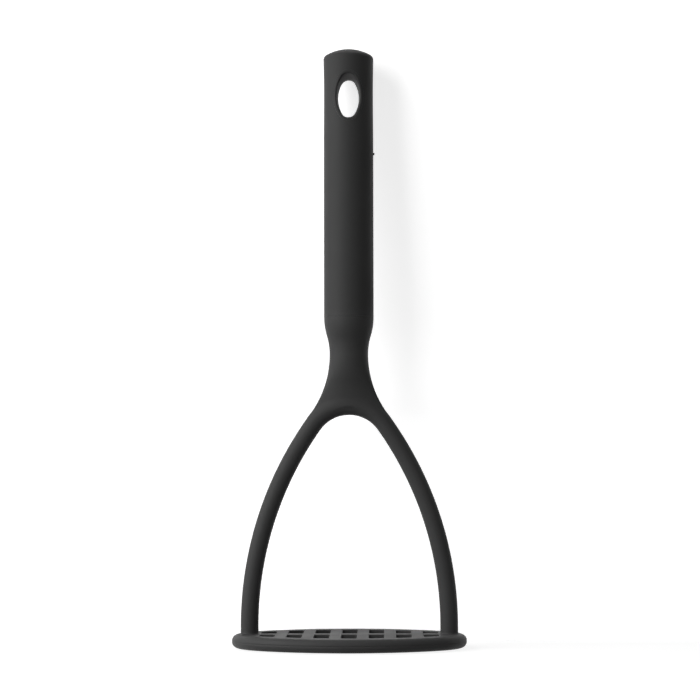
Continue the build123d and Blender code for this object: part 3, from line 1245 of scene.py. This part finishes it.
    def add_nub(self, builder: MeshBuilder) -> None:
        """Adds the moulding nub beside the seam, as half a ball that is flat on the parting plane.

        Args:
            builder: Mesh that gets the nub.
        """
        centre = np.array([self.shape.plain_radius, 0.0, self.shape.bottom + self.nub_rise])
        turns = np.linspace(0, 2 * math.pi, self.nub_points, endpoint=False)
        rings = []
        for dip in np.radians([90, 75, 60, 45, 30, 15]):
            reach = self.nub_radius * np.sin(dip)
            depth = np.full(len(turns), self.half.value * self.nub_radius * np.cos(dip))
            ring = centre + np.column_stack([reach * np.cos(turns), depth, reach * np.sin(turns)])
            rings.append(builder.add(ring))
        builder.stack(rings)
        builder.cap(rings)

    def build(self, material: bpy.types.Material) -> list[bpy.types.Object]:
        """Builds and dresses this half of the handle.

        Args:
            material: The handle's nylon.

        Returns:
            The half.
        """
        builder = MeshBuilder()
        outer_rows, outer_hole = self.add_surface(builder, inside=False)
        inner_rows, inner_hole = self.add_surface(builder, inside=True)
        builder.bridge(outer_hole, inner_hole)
        builder.bridge(outer_rows[0], inner_rows[0], closed=False)
        for column in (0, -1):
            outer_line = [row[column] for row in outer_rows]
            inner_line = [row[column] for row in inner_rows]
            builder.bridge(outer_line, inner_line, closed=False)
        if self.half is Half.FRONT:
            self.add_nub(builder)
        piece = builder.build(f"handle_{self.half.name.lower()}_skin")
        dress(piece, material)
        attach(piece, BODY)
        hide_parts(f"handle_{self.half.name.lower()}_shell")
        return [piece]


@dataclass
class HangHoleSleeve:
    """Oval sleeve through the handle, flush outside, with soft lips and a shoulder inside."""

    shape: HandleShape
    lip_radius: float = 1.05
    waist_softness: float = 1.0
    cavity_gap: float = 0.05
    spacing: float = 0.45
    lip_points: int = 9
    wall_points: int = 12
    mouth_rounds: int = 3

    def surface_depth(self, flat: np.ndarray, radius: float | None = None) -> np.ndarray:
        """How far the handle's side lies from the middle plane at given places.

        Args:
            flat: Places along and across the handle, from the hole's centre.
            radius: Radius of a plain inner surface, or None for the outside.

        Returns:
            The depths.
        """
        height = self.shape.hole_height + flat[:, 0]
        radii = np.array([self.shape.radius_at(z) for z in height]) if radius is None else radius
        return np.sqrt(radii**2 - flat[:, 1] ** 2)

    def wall(self, angles: np.ndarray, depth: np.ndarray) -> np.ndarray:
        """Places on the passage's wall, which is drafted out from a soft waist in the middle.

        Args:
            angles: Angles of the way out, one for each place.
            depth: Distances from the middle plane.

        Returns:
            Places along and across the handle, from the hole's centre.
        """
        soft, full = self.waist_softness, self.shape.plain_radius
        share = (np.hypot(depth, soft) - soft) / (math.hypot(full, soft) - soft)
        middle = self.shape.throat.outline_at(angles).points
        mouth = self.shape.mouth.outline_at(angles).points
        return middle + (mouth - middle) * share[:, None]

    def ring(self, flat: np.ndarray, depth: np.ndarray) -> np.ndarray:
        """Points in space for places along and across the handle at given depths."""
        return np.column_stack([flat[:, 1], depth, self.shape.hole_height + flat[:, 0]])

    def half_rings(self) -> list[np.ndarray]:
        """Rings of one half, from the shoulder over the outside and the lip to the middle plane.

        Returns:
            Points in space of each ring, on the rear side.
        """
        shape = self.shape
        outline = shape.mouth.outline(self.spacing)
        angles = np.arctan2(outline.normals[:, 1], outline.normals[:, 0])
        outer = outline.offset(shape.liner_wall)
        shoulder = outline.offset(shape.liner_wall + shape.liner_shoulder)
        cavity_radius = shape.plain_radius - shape.wall - self.cavity_gap
        rings = [
            self.ring(shoulder, self.surface_depth(shoulder, cavity_radius)),
            self.ring(outer, self.surface_depth(outer, cavity_radius)),
            self.ring(outer, self.surface_depth(outer)),
        ]

        # The mouth follows the round side of the handle, so its place and its depth settle together.
        depth = self.surface_depth(outline.points)
        for _ in range(self.mouth_rounds):
            edge = self.wall(angles, depth)
            depth = self.surface_depth(edge)
        rim = edge + self.lip_radius * outline.normals
        start = self.ring(rim, self.surface_depth(rim))
        corner = self.ring(edge, depth)
        lip_depth = depth - self.lip_radius
        end = self.ring(self.wall(angles, lip_depth), lip_depth)
        for share in np.linspace(0, 1, self.lip_points):
            first, second = start + share * (corner - start), corner + share * (end - corner)
            rings.append(first + share * (second - first))
        for share in np.linspace(1, 0, self.wall_points)[1:]:
            deep = lip_depth * share
            rings.append(self.ring(self.wall(angles, deep), deep))
        return rings

    def build(self, material: bpy.types.Material) -> list[bpy.types.Object]:
        """Builds and dresses the sleeve.

        Args:
            material: The sleeve's nylon.

        Returns:
            The sleeve.
        """
        builder = MeshBuilder()
        half_rings = self.half_rings()
        halves = []
        for side in (Half.FRONT, Half.REAR):
            flip = np.array([1.0, side.value, 1.0])
            halves.append([builder.add(ring * flip) for ring in half_rings])
        front, rear = halves
        loop = front + rear[-2::-1]
        for first, second in zip(loop, loop[1:] + loop[:1]):
            builder.bridge(first, second)
        piece = builder.build("hang_hole_sleeve")
        dress(piece, material)
        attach(piece, BODY)
        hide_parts("hang_hole_liner")
        return [piece]


@dataclass(frozen=True)
class PaperFinish:
    """Pale paper of the floor and the backdrop, which shows from its front alone.

    Its glow is the light that it gives off in view, and paper the share of light that it returns.
    """

    name: str
    glow: float
    paper: float

    def material(self) -> bpy.types.Material:
        """Builds the material, on which the tool's shadow stays.

        Returns:
            The material.
        """
        made = new_material(self.name)
        tree = made.node_tree
        tree.nodes.clear()
        diffuse = add_node(tree, "ShaderNodeBsdfDiffuse", {"Color": (self.paper, self.paper, self.paper, 1)})
        emission = add_node(tree, "ShaderNodeEmission", {"Strength": self.glow})
        both = add_node(tree, "ShaderNodeAddShader", {0: diffuse.outputs[0], 1: emission.outputs[0]})
        clear = add_node(tree, "ShaderNodeBsdfTransparent")
        back = add_node(tree, "ShaderNodeNewGeometry")
        sides = {0: add_sight(tree), 1: back.outputs["Backfacing"]}
        front = add_node(tree, "ShaderNodeMath", sides, operation="SUBTRACT", use_clamp=True)
        layers = {"Fac": front.outputs[0], 1: clear.outputs[0], 2: both.outputs[0]}
        choice = add_node(tree, "ShaderNodeMixShader", layers)
        add_node(tree, "ShaderNodeOutputMaterial", {"Surface": choice.outputs[0]})
        return made


@dataclass(frozen=True)
class Softbox:
    """Square soft lamp that faces the tool.

    Lengths are metres and power is watts. The azimuth is in degrees, 0 in front and more to the right.
    """

    name: str
    azimuth: float
    height: float
    reach: float
    size: float
    power: float
    aim_height: float = 0.12

    def build(self) -> None:
        """Adds the lamp to the scene."""
        data = bpy.data.lights.new(self.name, "AREA")
        data.shape = "SQUARE"
        data.size = self.size
        data.energy = self.power
        lamp = bpy.data.objects.new(self.name, data)
        turn = math.radians(self.azimuth)
        lamp.location = (self.reach * math.sin(turn), -self.reach * math.cos(turn), self.height)
        aim = Vector((0, 0, self.aim_height)) - lamp.location
        lamp.rotation_mode = "QUATERNION"
        lamp.rotation_quaternion = aim.to_track_quat("-Z", "Y")
        bpy.context.scene.collection.objects.link(lamp)


@dataclass
class Studio:
    """Pale floor and backdrop, soft lamps, and the camera of the photograph.

    Lengths are millimetres, apart from the two reaches, which are metres. Angles are degrees.
    """

    camera_distance: float = 1050.0
    camera_azimuth: float = 0.8
    camera_height: float = 79.2
    camera_roll: float = -0.1
    aim_height: float = 133.46
    aim_x: float = 0.49
    lens: float = 119.84
    ambient: float = 0.08
    floor_drop: float = 0.5
    floor_reach: float = 3.0
    backdrop_gap: float = 0.3
    backdrop_reach: float = 1.5
    floor_paper: PaperFinish = PaperFinish("floor_paper", glow=0.87, paper=0.3)
    backdrop_paper: PaperFinish = PaperFinish("backdrop_paper", glow=0.70, paper=0.9)
    softboxes: tuple[Softbox, ...] = (
        Softbox("key_softbox", azimuth=-62.0, height=0.40, reach=0.85, size=1.0, power=12.0),
        Softbox("fill_softbox", azimuth=15.0, height=0.25, reach=1.2, size=1.0, power=1.2),
        Softbox("top_softbox", azimuth=-100.0, height=1.2, reach=0.3, size=0.8, power=0.7),
    )

    def build_camera(self) -> None:
        """Sets up the camera at the photograph's angle."""
        data = bpy.data.cameras.new("photo_camera")
        data.lens = self.lens
        data.sensor_width = 36.0
        data.clip_start, data.clip_end = 0.05, 20.0
        camera = bpy.data.objects.new("photo_camera", data)
        turn = math.radians(self.camera_azimuth)
        reach = self.camera_distance * MM
        camera.location = (reach * math.sin(turn), -reach * math.cos(turn), self.camera_height * MM)
        aim = Vector((self.aim_x * MM, 0.0, self.aim_height * MM))
        camera.rotation_mode = "QUATERNION"
        look = (aim - camera.location).to_track_quat("-Z", "Y")
        camera.rotation_quaternion = look @ Quaternion((0, 0, 1), math.radians(self.camera_roll))
        bpy.context.scene.collection.objects.link(camera)
        bpy.context.scene.camera = camera

    def build_world(self) -> None:
        """Sets a low even light from all round, which is white in view, in sheen and through glass."""
        world = bpy.data.worlds.new("studio")
        world.use_nodes = True
        bpy.context.scene.world = world
        tree = world.node_tree
        low = tree.nodes["Background"]
        feed(low, {"Color": (1, 1, 1, 1), "Strength": self.ambient})
        white = add_node(tree, "ShaderNodeBackground", {"Color": (1, 1, 1, 1)})
        layers = {"Fac": add_sight(tree), 1: low.outputs["Background"], 2: white.outputs["Background"]}
        choice = add_node(tree, "ShaderNodeMixShader", layers)
        feed(tree.nodes["World Output"], {"Surface": choice.outputs["Shader"]})

    def build_sheet(self, name: str, corners: list[tuple[float, float, float]], paper: PaperFinish) -> None:
        """Adds a flat sheet of the stage.

        Args:
            name: Name of the sheet.
            corners: Its four corners in metres, counter-clockwise from its front.
            paper: Its finish.
        """
        mesh = bpy.data.meshes.new(name)
        mesh.from_pydata(corners, [], [(0, 1, 2, 3)])
        sheet = bpy.data.objects.new(name, mesh)
        bpy.context.scene.collection.objects.link(sheet)
        mesh.materials.append(paper.material())
        sheet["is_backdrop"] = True

    def build_backdrop(self) -> None:
        """Adds the backdrop, half as tall as wide, which leans to clear the plate and the handle's top."""
        plate_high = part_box("masher_plate")[1]
        shell_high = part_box("handle_rear_shell")[1]
        gap = self.backdrop_gap * MM
        foot_y, top_y = plate_high.y + gap, shell_high.y + gap
        lean = (top_y - foot_y) / shell_high.z
        reach = self.backdrop_reach
        corners = [
            (-reach, foot_y, 0.0),
            (reach, foot_y, 0.0),
            (reach, foot_y + lean * reach, reach),
            (-reach, foot_y + lean * reach, reach),
        ]
        self.build_sheet("backdrop", corners, self.backdrop_paper)

    def build_floor(self) -> None:
        """Adds the floor."""
        reach, drop = self.floor_reach, -self.floor_drop * MM
        sides = ((-1, -1), (1, -1), (1, 1), (-1, 1))
        corners = [(side_x * reach, side_y * reach, drop) for side_x, side_y in sides]
        self.build_sheet("floor", corners, self.floor_paper)

    def build(self) -> None:
        """Builds the whole stage."""
        self.build_world()
        self.build_backdrop()
        self.build_floor()
        for softbox in self.softboxes:
            softbox.build()
        self.build_camera()
        bpy.context.scene.view_settings.view_transform = "Standard"


def main() -> None:
    """Builds the masher's sub-assemblies and the stage, and reports each piece."""
    logging.basicConfig(level=logging.INFO, format="%(message)s")
    plate_nylon = NylonFinish("plate_nylon", specular_level=0.125).material()
    frame_nylon = NylonFinish("frame_nylon", specular_level=0.1).material()
    handle_nylon = NylonFinish("handle_nylon", specular_level=0.075).material()
    sleeve_nylon = NylonFinish("sleeve_nylon", roughness=0.52, specular_level=0.075).material()
    wire_steel = DrawnSteelFinish("wire_steel").material()

    shape = HandleShape()
    pieces = [
        *MasherPlate().build(plate_nylon),
        *Wishbone().build(frame_nylon),
        *HandleSkin(shape, Half.FRONT).build(handle_nylon),
        *HandleSkin(shape, Half.REAR).build(handle_nylon),
        *HangHoleSleeve(shape).build(sleeve_nylon),
    ]
    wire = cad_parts["core_wire"]
    dress(wire, wire_steel)
    pieces.append(wire)
    for piece in pieces:
        mesh = piece.data
        log.info("%s: %d faces, dressed in %s", piece.name, len(mesh.polygons), mesh.materials[0].name)
    Studio().build()

    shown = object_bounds()
    for corner, (cad, visual) in zip(("low", "high"), zip(cad_bounds, shown)):
        log.info("%s corner: solids %s, dressed %s", corner, tuple(cad), tuple(visual))


if __name__ == "__main__":
    main()
